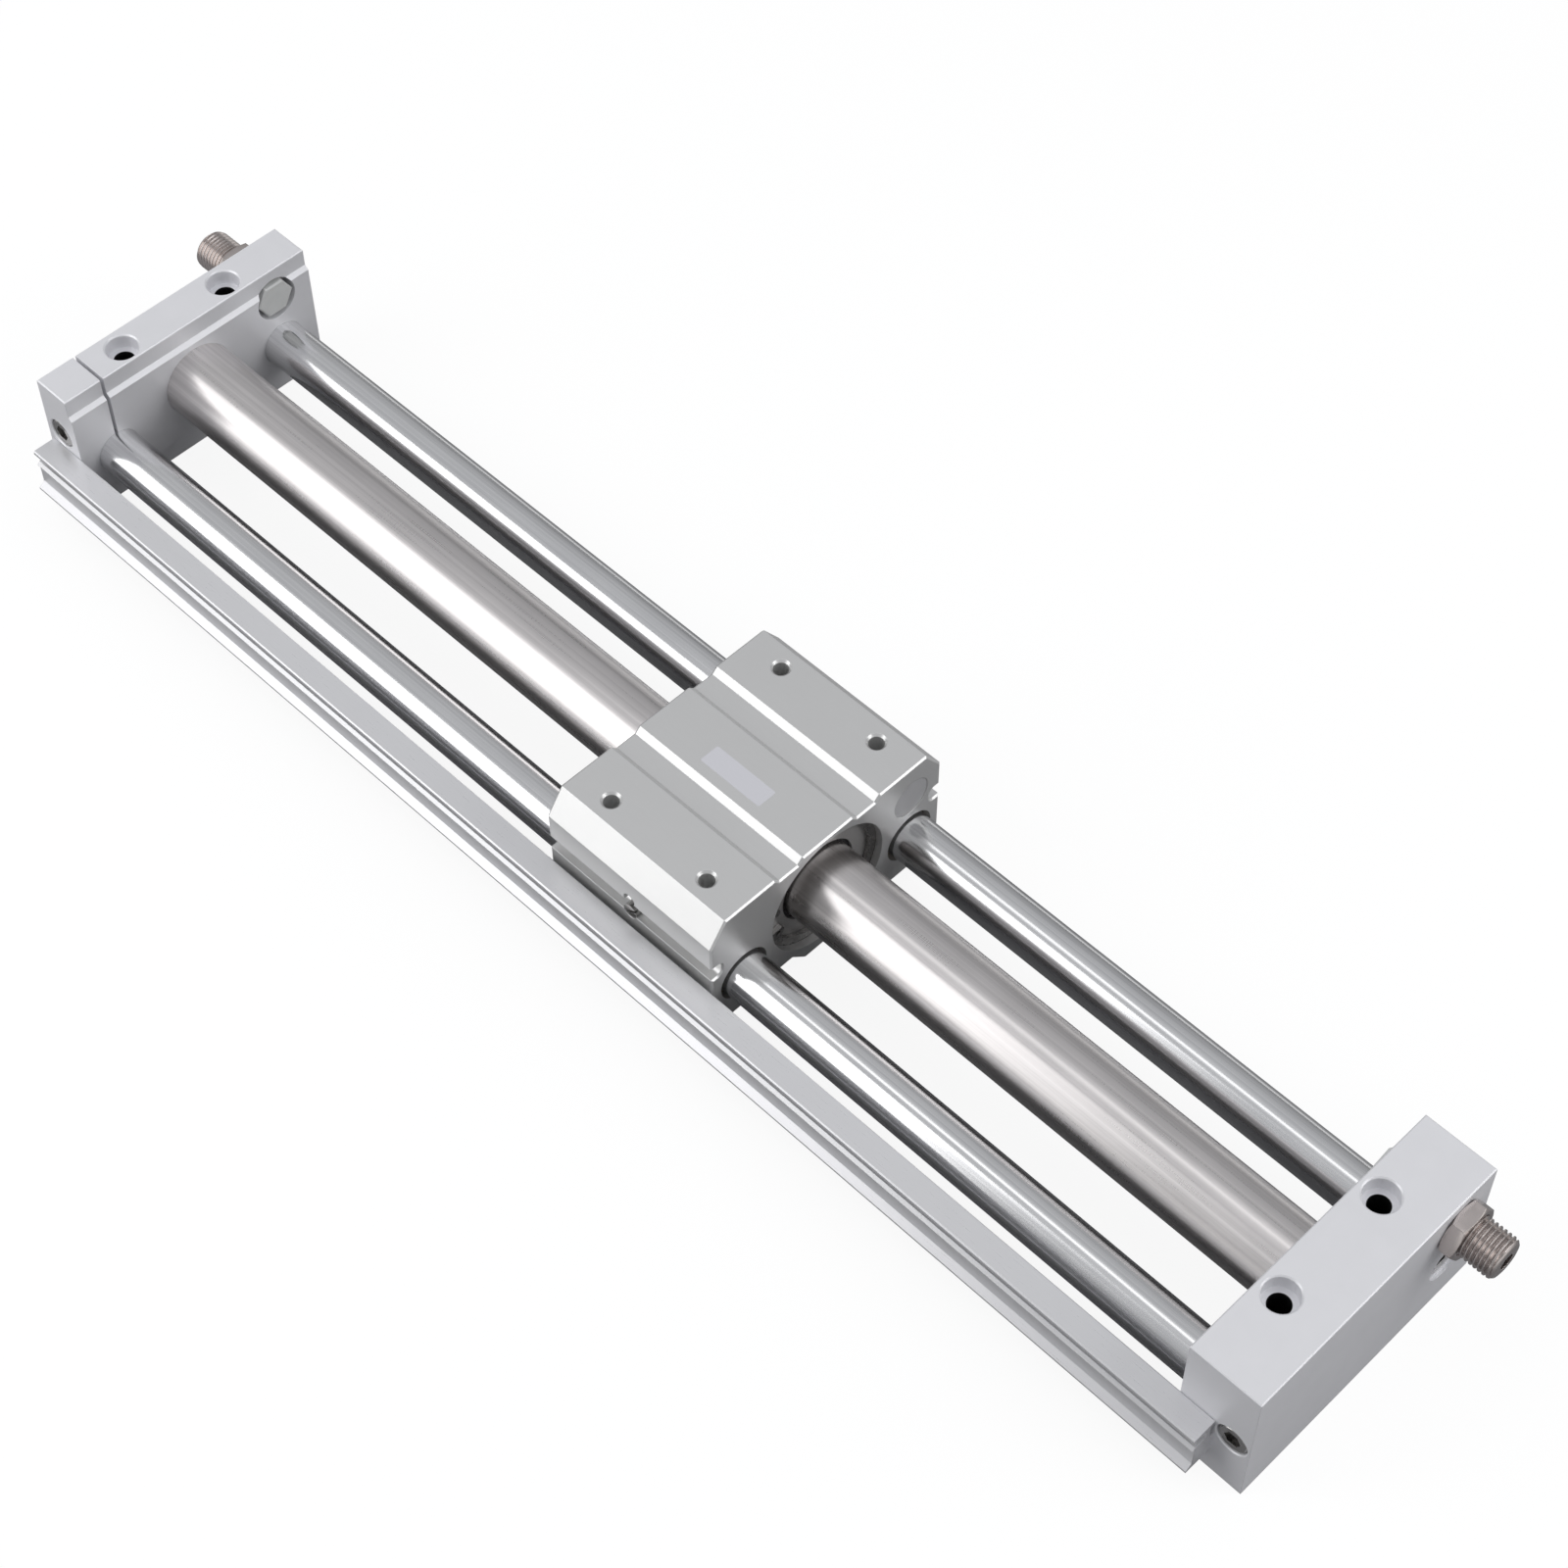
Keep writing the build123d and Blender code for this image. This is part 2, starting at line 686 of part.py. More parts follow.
# Magnet pack in the block: sleeve, magnets and yokes
pack_left = block_x - pack_length / 2
sleeve_bore_r = pack_r - sleeve_wall
magnet_sleeve = tube_axis_ring(pack_left, pack_length, sleeve_bore_r, pack_r)
save(magnet_sleeve, "magnet_sleeve")

pack_pitch = magnet_length + yoke_length
outer_bore_r = tube_r + outer_magnet_gap
for number in range(1, magnet_count + 1):
    x = pack_left + yoke_length + (number - 1) * pack_pitch
    outer_magnet = tube_axis_ring(x, magnet_length, outer_bore_r, sleeve_bore_r - liner_fit)
    save(outer_magnet, f"outer_magnet_{number}")
    inner_r = tube_bore_r - inner_magnet_gap
    inner_magnet = tube_axis_ring(x, magnet_length, rod_r + rod_fit, inner_r)
    save(inner_magnet, f"inner_magnet_{number}")

for number in range(1, magnet_count + 2):
    x = pack_left + (number - 1) * pack_pitch
    outer_yoke = tube_axis_ring(x, yoke_length, outer_bore_r, sleeve_bore_r - liner_fit)
    save(outer_yoke, f"outer_yoke_{number}")
    inner_yoke = tube_axis_ring(x, yoke_length, rod_r + rod_fit, tube_bore_r - inner_yoke_gap)
    save(inner_yoke, f"inner_yoke_{number}")

# Each end of the pack: holder with its scraper and wear ring, and a retaining ring
holder_bore_r = tube_r + holder_gap
wear_inner_r = tube_r + tube_running_fit
wear_outer_r = holder_bore_r - liner_fit
ring_outer_r = ring_groove_r - ring_groove_fit
ring_inner_r = ring_groove_r - ring_width
lug_centre_r = ring_inner_r - lug_offset
lug_start = ring_gap_angle - lug_half_angle
gap_reach = ring_groove_r - ring_inner_r + 2 * lug_r
for name, side in (("left", -1), ("right", 1)):
    pack_end = block_x + side * pack_length / 2
    end_holder = tube_axis_ring(pack_end, side * holder_length, holder_bore_r, pack_r)
    save(end_holder, f"end_holder_{name}")
    wear_ring = tube_axis_ring(pack_end, side * wear_ring_length, wear_inner_r, wear_outer_r)
    save(wear_ring, f"wear_ring_{name}")
    scraper_x = pack_end + side * wear_ring_length
    scraper = tube_axis_ring(scraper_x, side * scraper_length, wear_inner_r, wear_outer_r)
    save(scraper, f"scraper_{name}")

    with BuildPart() as retaining_ring:
        with BuildSketch(Plane.YZ.offset(block_x + side * (block_length / 2 - ring_inset))):
            with Locations((0, tube_z)):
                Circle(ring_outer_r)
                Circle(ring_inner_r, mode=Mode.SUBTRACT)
                with PolarLocations(lug_centre_r, 2, lug_start, 2 * lug_half_angle, endpoint=True):
                    Circle(lug_r)
                    Circle(lug_hole_r, mode=Mode.SUBTRACT)
                with PolarLocations(ring_groove_r - gap_reach / 2, 1, ring_gap_angle):
                    Rectangle(gap_reach, ring_gap_width, mode=Mode.SUBTRACT)
        extrude(amount=-side * ring_thickness)
    save(retaining_ring, f"retaining_ring_{name}")

# Plain bushings in both ends of both shaft bores
for row, y in (("front", -shaft_y), ("rear", shaft_y)):
    for name, x in (
        ("left", block_left + bushing_inset),
        ("right", block_right - bushing_inset - bushing_length),
    ):
        with BuildPart() as guide_bushing:
            with BuildSketch(Plane.YZ.offset(x)):
                with Locations((y, shaft_z)):
                    Circle(bushing_r)
                    Circle(shaft_r + shaft_running_fit, mode=Mode.SUBTRACT)
            extrude(amount=bushing_length)
        save(guide_bushing, f"guide_bushing_{row}_{name}")

# Piston: rod, end discs, seals, guide rings, nuts and cushions
piston_r = tube_bore_r - piston_gap
seal_groove_r = tube_bore_r - seal_width
guide_ring_groove_r = tube_bore_r - guide_ring_width
rod_half_length = pack_length / 2 + piston_length + rod_nut_length
piston_rod = tube_axis_ring(block_x - rod_half_length, 2 * rod_half_length, 0, rod_r)
save(piston_rod, "piston_rod")

for name, side in (("left", -1), ("right", 1)):
    root = block_x + side * pack_length / 2
    with BuildPart() as piston:
        with BuildSketch(Plane((root, 0, tube_z), x_dir=(side, 0, 0), z_dir=(0, -side, 0))):
            with BuildLine():
                Polyline(
                    (0, rod_r + rod_fit),
                    (0, piston_r),
                    (guide_ring_offset, piston_r),
                    (guide_ring_offset, guide_ring_groove_r),
                    (guide_ring_offset + guide_ring_length, guide_ring_groove_r),
                    (guide_ring_offset + guide_ring_length, piston_r),
                    (seal_offset, piston_r),
                    (seal_offset, seal_groove_r),
                    (seal_offset + seal_length, seal_groove_r),
                    (seal_offset + seal_length, piston_r),
                    (piston_length, piston_r),
                    (piston_length, rod_r + rod_fit),
                    close=True,
                )
            make_face()
        revolve(axis=Axis((0, 0, tube_z), (1, 0, 0)))
    save(piston, f"piston_{name}")

    running_r = tube_bore_r - bore_running_fit
    guide_x = root + side * guide_ring_offset
    guide_bore_r = guide_ring_groove_r + liner_fit
    guide_ring = tube_axis_ring(guide_x, side * guide_ring_length, guide_bore_r, running_r)
    save(guide_ring, f"piston_guide_ring_{name}")
    seal_x = root + side * seal_offset
    seal = tube_axis_ring(seal_x, side * seal_length, seal_groove_r + liner_fit, running_r)
    save(seal, f"piston_seal_{name}")

    face = root + side * piston_length
    with BuildPart() as rod_nut:
        with BuildSketch(Plane.YZ.offset(face)):
            with Locations((0, tube_z)):
                RegularPolygon(rod_nut_flats / 2, 6, major_radius=False)
                Circle(rod_r + rod_fit, mode=Mode.SUBTRACT)
        extrude(amount=side * rod_nut_length)
    save(rod_nut, f"rod_nut_{name}")
    cushion = tube_axis_ring(face, side * cushion_length, cushion_inner_r, cushion_outer_r)
    save(cushion, f"cushion_{name}")
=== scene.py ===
"""Looks of the rodless cylinder: bolts, nuts, smooth bars, label, finishes and studio."""

import json
import math

import bpy
from bpy.props import FloatProperty, FloatVectorProperty, IntProperty, PointerProperty
from mathutils import Matrix, Vector


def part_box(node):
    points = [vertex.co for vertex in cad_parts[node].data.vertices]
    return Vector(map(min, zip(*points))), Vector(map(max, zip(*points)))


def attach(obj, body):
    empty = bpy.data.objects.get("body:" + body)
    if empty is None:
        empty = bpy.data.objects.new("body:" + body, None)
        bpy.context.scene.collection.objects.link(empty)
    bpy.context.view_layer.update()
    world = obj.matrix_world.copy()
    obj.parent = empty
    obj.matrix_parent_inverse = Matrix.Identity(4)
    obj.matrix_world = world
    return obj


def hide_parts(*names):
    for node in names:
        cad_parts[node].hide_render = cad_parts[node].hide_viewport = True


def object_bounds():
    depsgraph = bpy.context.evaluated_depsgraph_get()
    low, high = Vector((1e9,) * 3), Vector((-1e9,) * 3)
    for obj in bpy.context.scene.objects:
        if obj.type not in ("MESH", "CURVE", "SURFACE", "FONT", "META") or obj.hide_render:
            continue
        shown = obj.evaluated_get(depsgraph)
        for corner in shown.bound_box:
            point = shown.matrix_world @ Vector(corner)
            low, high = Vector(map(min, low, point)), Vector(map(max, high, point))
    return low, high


bl_info = {
    "name": "Rodless Cylinder Looks",
    "version": (1, 0, 0),
    "blender": (4, 5, 0),
    "location": "View3D > Sidebar > Cylinder",
    "description": "Threads, lock nuts, shafts, finishes and studio of a rodless air cylinder",
    "category": "Object",
}

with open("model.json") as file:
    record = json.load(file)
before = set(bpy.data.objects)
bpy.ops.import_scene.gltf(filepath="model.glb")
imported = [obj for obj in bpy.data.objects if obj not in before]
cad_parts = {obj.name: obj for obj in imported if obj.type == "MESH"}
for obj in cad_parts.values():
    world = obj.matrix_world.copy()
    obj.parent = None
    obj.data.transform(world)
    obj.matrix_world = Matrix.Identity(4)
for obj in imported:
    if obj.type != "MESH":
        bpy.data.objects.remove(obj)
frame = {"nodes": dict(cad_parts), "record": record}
nodes = frame["nodes"]
cad_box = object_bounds()

MM = 0.001
BLACK = (0.012, 0.012, 0.012)


def node_centre(name):
    low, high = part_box(name)
    return (low + high) / 2


class CylinderFasteners(bpy.types.PropertyGroup):
    pitch: FloatProperty(
        name="Thread pitch", description="Travel of a stop bolt in one turn",
        default=1.5 * MM, unit="LENGTH",
    )
    depth: FloatProperty(
        name="Thread depth", description="Crest to root of the stop bolts' thread",
        default=0.85 * MM, unit="LENGTH",
    )
    steps: IntProperty(
        name="Steps", description="Facets in one turn of a thread", default=64, min=24, max=128,
    )
    hull_gap: FloatProperty(
        name="Hull gap",
        description="How far outside the thread the form lies that rounds the bolt's tip",
        default=0.02 * MM, unit="LENGTH",
    )
    bolt_chamfer: FloatProperty(
        name="Bolt tip", description="Rounding of the stop bolts' outer tips",
        default=2.1 * MM, unit="LENGTH",
    )
    bolt_socket: FloatProperty(
        name="Socket flats", description="Width of the stop bolts' hex sockets across their flats",
        default=5 * MM, unit="LENGTH",
    )
    bolt_socket_depth: FloatProperty(
        name="Socket depth", description="Depth of the stop bolts' hex sockets",
        default=4 * MM, unit="LENGTH",
    )
    nose: FloatProperty(
        name="Nose", description="Length of the plain nose that enters the bumper",
        default=2.4 * MM, unit="LENGTH",
    )
    nose_radius: FloatProperty(
        name="Nose radius", description="Radius of the plain nose that enters the bumper",
        default=3 * MM, unit="LENGTH",
    )
    nut_flats: FloatProperty(
        name="Nut flats", description="Width of the lock nuts across their flats",
        default=17 * MM, unit="LENGTH",
    )
    nut_cone: FloatProperty(
        name="Nut cone", description="Height of the cones that break the lock nuts' corners",
        default=0.8 * MM, unit="LENGTH",
    )
    nut_sink: FloatProperty(
        name="Nut countersink", description="Depth of the countersinks in the lock nuts' bores",
        default=0.4 * MM, unit="LENGTH",
    )
    nut_gap: FloatProperty(
        name="Nut clearance", description="Gap between a lock nut's bore and its bolt",
        default=0.05 * MM, unit="LENGTH",
    )
    nut_bevel: FloatProperty(
        name="Nut edge", description="Rounding of the lock nuts' edges",
        default=0.22 * MM, unit="LENGTH",
    )
    nut_turn_left: FloatProperty(
        name="Left nut's turn", description="Turn of the left lock nut about its bolt",
        default=0.0, subtype="ANGLE",
    )
    nut_turn_right: FloatProperty(
        name="Right nut's turn", description="Turn of the right lock nut about its bolt",
        default=math.radians(5), subtype="ANGLE",
    )


class CylinderBars(bpy.types.PropertyGroup):
    sides: IntProperty(
        name="Sides", description="Facets round a guide shaft or the tube",
        default=192, min=48, max=384,
    )
    shaft_chamfer: FloatProperty(
        name="Shaft chamfer", description="Chamfer at the guide shafts' ends",
        default=0.8 * MM, unit="LENGTH",
    )
    tube_chamfer: FloatProperty(
        name="Tube chamfer", description="Broken edge at the cylinder tube's ends",
        default=0.15 * MM, unit="LENGTH",
    )
    tube_bore: FloatProperty(
        name="Tube bore", description="Radius of the cylinder tube's bore",
        default=12.5 * MM, unit="LENGTH",
    )


class CylinderLabel(bpy.types.PropertyGroup):
    length: FloatProperty(
        name="Label length", description="Size of the bare label along the stroke",
        default=24.4 * MM, unit="LENGTH",
    )
    width: FloatProperty(
        name="Label width", description="Size of the bare label across the stroke",
        default=7.2 * MM, unit="LENGTH",
    )
    offset: FloatProperty(
        name="Label offset", description="Label's centre in front of the slide block's middle",
        default=2.8 * MM, unit="LENGTH",
    )
    thickness: FloatProperty(
        name="Label thickness", description="Height of the label's film",
        default=0.03 * MM, unit="LENGTH",
    )
    corner: FloatProperty(
        name="Label corners", description="Rounding of the label's corners",
        default=0.6 * MM, unit="LENGTH",
    )
    colour: FloatVectorProperty(
        name="Label colour", description="Colour of the bare label",
        default=(0.68, 0.68, 0.72), subtype="COLOR", min=0, max=1,
    )


class CylinderFinishes(bpy.types.PropertyGroup):
    plate: FloatVectorProperty(
        name="End plates", description="Colour of the blasted and anodised plates",
        default=(0.86, 0.86, 0.885), subtype="COLOR", min=0, max=1,
    )
    block: FloatVectorProperty(
        name="Slide block", description="Colour of the anodised slide block",
        default=(0.70, 0.70, 0.695), subtype="COLOR", min=0, max=1,
    )
    rail: FloatVectorProperty(
        name="Switch rail", description="Colour of the extruded rail",
        default=(0.76, 0.76, 0.775), subtype="COLOR", min=0, max=1,
    )
    chrome: FloatVectorProperty(
        name="Guide shafts", description="Colour of the hard chrome",
        default=(0.75, 0.755, 0.785), subtype="COLOR", min=0, max=1,
    )
    tube: FloatVectorProperty(
        name="Cylinder tube", description="Colour of the drawn stainless tube",
        default=(0.665, 0.64, 0.635), subtype="COLOR", min=0, max=1,
    )
    bolt: FloatVectorProperty(
        name="Stop bolts", description="Colour of the nickel-plated bolts and nuts",
        default=(0.57, 0.52, 0.50), subtype="COLOR", min=0, max=1,
    )


class CylinderStudio(bpy.types.PropertyGroup):
    azimuth: FloatProperty(
        name="Camera azimuth",
        description="Direction of the camera round the object, from the front",
        default=math.radians(43.681), subtype="ANGLE",
    )
    elevation: FloatProperty(
        name="Camera elevation", description="Height of the camera over the floor as an angle",
        default=math.radians(53.29), subtype="ANGLE",
    )
    roll: FloatProperty(
        name="Camera roll", description="Turn of the camera about its line of sight",
        default=math.radians(0.904), subtype="ANGLE",
    )
    distance: FloatProperty(
        name="Camera distance", description="Distance from the camera to its target",
        default=0.991674, unit="LENGTH",
    )
    target: FloatVectorProperty(
        name="Camera target", description="Point that the camera looks at",
        default=(33.95 * MM, 29.91 * MM, 27.0 * MM), subtype="TRANSLATION",
    )
    lens: FloatProperty(
        name="Focal length", description="Focal length on a 36 mm sensor, in millimetres",
        default=75.156,
    )
    shift_x: FloatProperty(
        name="Shift X", description="Sideways shift of the frame", default=-0.03794,
    )
    shift_y: FloatProperty(
        name="Shift Y", description="Upward shift of the frame", default=0.00377,
    )
    floor: FloatVectorProperty(
        name="Floor", description="Colour of the floor as it lights the object",
        default=(0.28, 0.28, 0.285), subtype="COLOR", min=0, max=1,
    )
    shade: FloatProperty(
        name="Floor shadow", description="How deep the object's shadow is on the white floor",
        default=0.13, min=0, max=1,
    )
    depth: FloatProperty(
        name="Mirrored shadow",
        description="How much deeper the shadow near the object is in the metal",
        default=1.0, min=0, max=1,
    )
    reach: FloatProperty(
        name="Shadow's reach", description="How far from the object the mirrored shadow fades out",
        default=0.30, unit="LENGTH",
    )
    open_light: FloatProperty(
        name="Open floor", description="Share of the full light that falls on the open floor",
        default=0.8, min=0, max=1,
    )
    foot_inset: FloatProperty(
        name="Foot inset", description="Length of a plate's spigot and step on its inner side",
        default=6.6 * MM, unit="LENGTH",
    )
    horizon: FloatProperty(
        name="Horizon", description="Brightness of the room at the floor's level", default=0.15,
    )
    ceiling: FloatProperty(
        name="Ceiling", description="Brightness of the room overhead", default=0.66,
    )
    front_lamp: FloatProperty(
        name="Front lamp", description="Brightness of the long soft lamp at the front",
        default=1.9,
    )
    top_lamp: FloatProperty(
        name="Top lamp", description="Brightness of the narrow lamp overhead", default=1.0,
    )
    side_lamp: FloatProperty(
        name="Side lamp", description="Brightness of the soft lamp at the right", default=2.2,
    )


class Wire:
    """A value in a material, on which ordinary arithmetic adds the nodes."""

    def __init__(self, shading, socket):
        self.shading = shading
        self.socket = socket

    def _math(self, operation, first, second):
        return self.shading.add("ShaderNodeMath", {"operation": operation}, {0: first, 1: second})

    def __add__(self, other):
        return self._math("ADD", self, other)

    def __radd__(self, other):
        return self._math("ADD", other, self)

    def __sub__(self, other):
        return self._math("SUBTRACT", self, other)

    def __mul__(self, other):
        return self._math("MULTIPLY", self, other)

    def __rmul__(self, other):
        return self._math("MULTIPLY", other, self)

    def __pow__(self, other):
        return self._math("POWER", self, other)

    def __abs__(self):
        return self.shading.add("ShaderNodeMath", {"operation": "ABSOLUTE"}, {0: self})

    def largest(self, other):
        return self._math("MAXIMUM", self, other)

    def clamped(self):
        return self.shading.add("ShaderNodeClamp", {}, {"Value": self})

    def fading(self, reach):
        """1 where the value is below 0, falling smoothly to 0 at reach."""
        values = {"Value": self, "From Min": 0.0, "From Max": reach, "To Min": 1.0, "To Max": 0.0}
        return self.shading.add("ShaderNodeMapRange", {"interpolation_type": "SMOOTHSTEP"}, values)


class Shading:
    """The node tree of a material or of the world, filled one node at a time."""

    def __init__(self, owner):
        owner.use_nodes = True
        self.tree = owner.node_tree

    def add(self, kind, settings, values, output=0):
        """Adds a node, gives its settings and then its sockets, and returns one output."""
        node = self.tree.nodes.new(kind)
        for key, value in settings.items():
            setattr(node, key, value)
        for key, value in values.items():
            self.give(node.inputs[key], value)
        return Wire(self, node.outputs[output])

    def find(self, kind):
        return next(node for node in self.tree.nodes if node.type == kind)

    def give(self, socket, value):
        if isinstance(value, Wire):
            self.tree.links.new(value.socket, socket)
        elif socket.type == "RGBA" and len(value) == 3:
            socket.default_value = (*value, 1.0)
        else:
            socket.default_value = value


class Finish(Shading):
    """A material with a Principled shader."""

    def __init__(self, name):
        self.material = bpy.data.materials.new(name)
        super().__init__(self.material)

    def surface(self, **values):
        """Sets sockets of the Principled shader by name, with underscores for spaces."""
        shader = self.find("BSDF_PRINCIPLED")
        for key, value in values.items():
            self.give(shader.inputs[key.replace("_", " ").title()], value)
        return self.material

    def place(self, scale=(1, 1, 1), centre=(0, 0, 0)):
        """Object coordinates, in metres, centred and then scaled."""
        where = self.add("ShaderNodeTexCoord", {}, {}, "Object")
        moved = self.add(
            "ShaderNodeVectorMath", {"operation": "SUBTRACT"}, {0: where, 1: centre}
        )
        values = {"Vector": moved, "Scale": scale}
        return self.add("ShaderNodeMapping", {"vector_type": "POINT"}, values)

    def noise(self, where, size, detail=3.0, rough=0.5):
        """Noise from 0 to 1 whose features are about size metres."""
        values = {"Vector": where, "Scale": 1 / size, "Detail": detail, "Roughness": rough}
        return self.add("ShaderNodeTexNoise", {}, values)

    def blend(self, factor, dark, pale):
        values = {"Factor": factor, "A": dark, "B": pale}
        node = self.tree.nodes.new("ShaderNodeMix")
        node.data_type = "RGBA"
        for socket in node.inputs:
            kind = "VALUE" if socket.name == "Factor" else "RGBA"
            if socket.name in values and socket.type == kind:
                self.give(socket, values[socket.name])
        return Wire(self, next(s for s in node.outputs if s.type == "RGBA"))

    def bump(self, height, depth, edge=0.0):
        """A normal with relief of that depth in metres, over edges rounded by edge metres."""
        values = {"Height": height, "Distance": depth, "Strength": 1.0}
        if edge:
            values["Normal"] = self.add("ShaderNodeBevel", {"samples": 6}, {"Radius": edge})
        return self.add("ShaderNodeBump", {}, values)


def tinted(colour, factor):
    """The colour times factor, never past 1."""
    return tuple(min(1.0, channel * factor) for channel in colour)


def blasted_aluminium(name, colour, holes, bore):
    """Fine even grain with a faint cloud, over lightly broken edges.

    Deep in the bores, whose axes are at plus and minus holes in X and Y, shade is painted in
    black.
    """
    finish = Finish(name)
    where = finish.place()
    grain = finish.noise(where, 0.22 * MM, 2.0)
    cloud = finish.noise(where, 9 * MM, 4.0)
    tone = finish.blend(cloud, tinted(colour, 0.965), tinted(colour, 1.025))
    across, along = (
        abs(finish.add("ShaderNodeSeparateXYZ", {}, {"Vector": where}, axis)) - place
        for axis, place in zip("XY", holes)
    )
    # Painted shade blackens the bores. The distances are squared, so this fades out 0.05 mm past
    # the bore's wall
    inside = (across * across + along * along - bore * bore).fading(bore * 0.1 * MM)
    # Painted shade: the plate colour turns black inside the bores
    tone = finish.blend(inside, tone, BLACK)
    speck = (grain - 0.5) * 0.10
    return finish.surface(
        base_color=tone,
        metallic=0.3,
        roughness=(0.42 + speck).clamped(),
        normal=finish.bump(grain, 0.006 * MM, 0.25 * MM),
    )


def drawn_aluminium(name, colour, rough, metal=0.7, edge=0.25 * MM):
    """Extruded surface with fine lines along the stroke."""
    finish = Finish(name)
    lines = finish.noise(finish.place(scale=(0.02, 1, 1)), 0.16 * MM, 3.0)
    cloud = finish.noise(finish.place(), 14 * MM, 3.0)
    grain = finish.noise(finish.place(), 0.3 * MM, 2.0)
    tone = finish.blend(0.65 * lines + 0.35 * cloud, tinted(colour, 0.95), tinted(colour, 1.04))
    return finish.surface(
        base_color=tone,
        metallic=metal,
        roughness=(rough + (lines - 0.5) * 0.12 + (grain - 0.5) * 0.05).clamped(),
        normal=finish.bump(lines * 0.6 + grain * 0.4, 0.005 * MM, edge),
    )


def polished_bar(name, colour, rough, streak, streak_and_reflection_contrast, centre):
    """Ground round bar: long streaks, faint rings across, and dark and light bands in the colour
    that are partly grinding marks and partly painted reflections.
    """
    finish = Finish(name)
    along = finish.noise(finish.place(scale=(0.003, 1, 1), centre=centre), streak, 3.0, 0.6)
    rings = finish.noise(finish.place(scale=(1, 0.01, 0.01), centre=centre), 0.35 * MM, 2.0)
    cloud = finish.noise(finish.place(scale=(0.25, 1, 1)), 7 * MM, 4.0)
    # The long streaks in the colour are partly grinding marks and partly painted reflections of
    # dark and light bands in the room
    streaks_and_reflections = along * 0.8 + cloud * 0.2
    tone = finish.blend(streaks_and_reflections, tinted(colour, 1 - streak_and_reflection_contrast), tinted(colour, 1 + streak_and_reflection_contrast))
    gloss = rough + (along - 0.5) * 0.10 + (rings - 0.5) * 0.015 + (cloud - 0.5) * 0.06
    return finish.surface(
        base_color=tone,
        metallic=1.0,
        roughness=gloss.clamped(),
        normal=finish.bump(along * 0.9 + rings * 0.1, 0.0012 * MM),
    )


def plated_steel(name, colour, rough=0.26):
    """Plated machined steel with light smudges and small tool marks."""
    finish = Finish(name)
    smudge = finish.noise(finish.place(), 2.5 * MM, 4.0)
    marks = finish.noise(finish.place(scale=(1, 0.06, 0.06)), 0.2 * MM, 2.0)
    tone = finish.blend(smudge, tinted(colour, 0.88), tinted(colour, 1.10))
    return finish.surface(
        base_color=tone,
        metallic=1.0,
        roughness=(rough + (smudge - 0.5) * 0.16 + (marks - 0.5) * 0.08).clamped(),
        normal=finish.bump(marks, 0.004 * MM, 0.12 * MM),
    )


def moulded(name, colour, rough):
    """Moulded rubber or resin with a soft grain."""
    finish = Finish(name)
    grain = finish.noise(finish.place(), 0.5 * MM, 3.0)
    cloud = finish.noise(finish.place(), 5 * MM, 3.0)
    tone = finish.blend(cloud, tinted(colour, 0.9), tinted(colour, 1.1))
    return finish.surface(
        base_color=tone,
        roughness=(rough + (cloud - 0.5) * 0.12).clamped(),
        normal=finish.bump(grain, 0.01 * MM, 0.1 * MM),
    )


def paper_film(name, colour):
    """Thin smooth film with a faint fibre."""
    finish = Finish(name)
    fibre = finish.noise(finish.place(), 0.35 * MM, 4.0)
    tone = finish.blend(fibre, tinted(colour, 0.97), colour)
    return finish.surface(base_color=tone, roughness=0.38, normal=finish.bump(fibre, 0.003 * MM))


def deselect():
    bpy.ops.object.select_all(action="DESELECT")


def activate(piece):
    deselect()
    piece.select_set(True)
    bpy.context.view_layer.objects.active = piece


def apply_place(piece):
    activate(piece)
    bpy.ops.object.transform_apply(location=True, rotation=True, scale=True)


def apply_modifier(piece, name):
    activate(piece)
    bpy.ops.object.modifier_apply(modifier=name)


def bar_along_x(name, x_start, x_end, radius, y, z, sides=96):
    """A cylinder primitive along X, its place already in its mesh."""
    deselect()
    bpy.ops.mesh.primitive_cylinder_add(
        vertices=sides, radius=radius, depth=abs(x_end - x_start), end_fill_type="NGON",
        location=((x_start + x_end) / 2, y, z), rotation=(0, math.pi / 2, 0),
    )
    piece = bpy.context.active_object
    piece.name = name
    apply_place(piece)
    return piece


def leave_edit():
    bpy.ops.object.mode_set(mode="OBJECT")


def edit_faces(piece, wanted):
    """Enters edit mode with only the faces whose normal wanted() picks."""
    activate(piece)
    bpy.ops.object.mode_set(mode="EDIT")
    bpy.ops.mesh.select_mode(type="FACE")
    bpy.ops.mesh.select_all(action="DESELECT")
    leave_edit()
    for face in piece.data.polygons:
        face.select = wanted(face.normal)
    bpy.ops.object.mode_set(mode="EDIT")


def combine(piece, tool, operation):
    """Boolean of piece with tool; the tool is used up."""
    step = piece.modifiers.new("combine", "BOOLEAN")
    step.operation = operation
    step.solver = "EXACT"
    step.object = tool
    apply_modifier(piece, step.name)
    bpy.data.objects.remove(tool)


def bevel_edges(piece, width, angle):
    """Rounds the edges where the faces turn by more than angle degrees."""
    step = piece.modifiers.new("edges", "BEVEL")
    step.width = width
    step.segments = 2
    step.limit_method = "ANGLE"
    step.angle_limit = math.radians(angle)
    apply_modifier(piece, step.name)


def smooth(piece, angle):
    activate(piece)
    bpy.ops.object.shade_smooth_by_angle(angle=math.radians(angle))


def tidy(piece):
    """Joins doubled corners and turns every face outward."""
    activate(piece)
    bpy.ops.object.mode_set(mode="EDIT")
    bpy.ops.mesh.select_all(action="SELECT")
    bpy.ops.mesh.remove_doubles(threshold=0.002 * MM)
    bpy.ops.mesh.normals_make_consistent(inside=False)
    leave_edit()


def finish_piece(piece, body, slot, material, *replaced):
    piece.data.materials.clear()
    piece.data.materials.append(material)
    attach(piece, body)
    if replaced:
        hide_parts(*replaced)


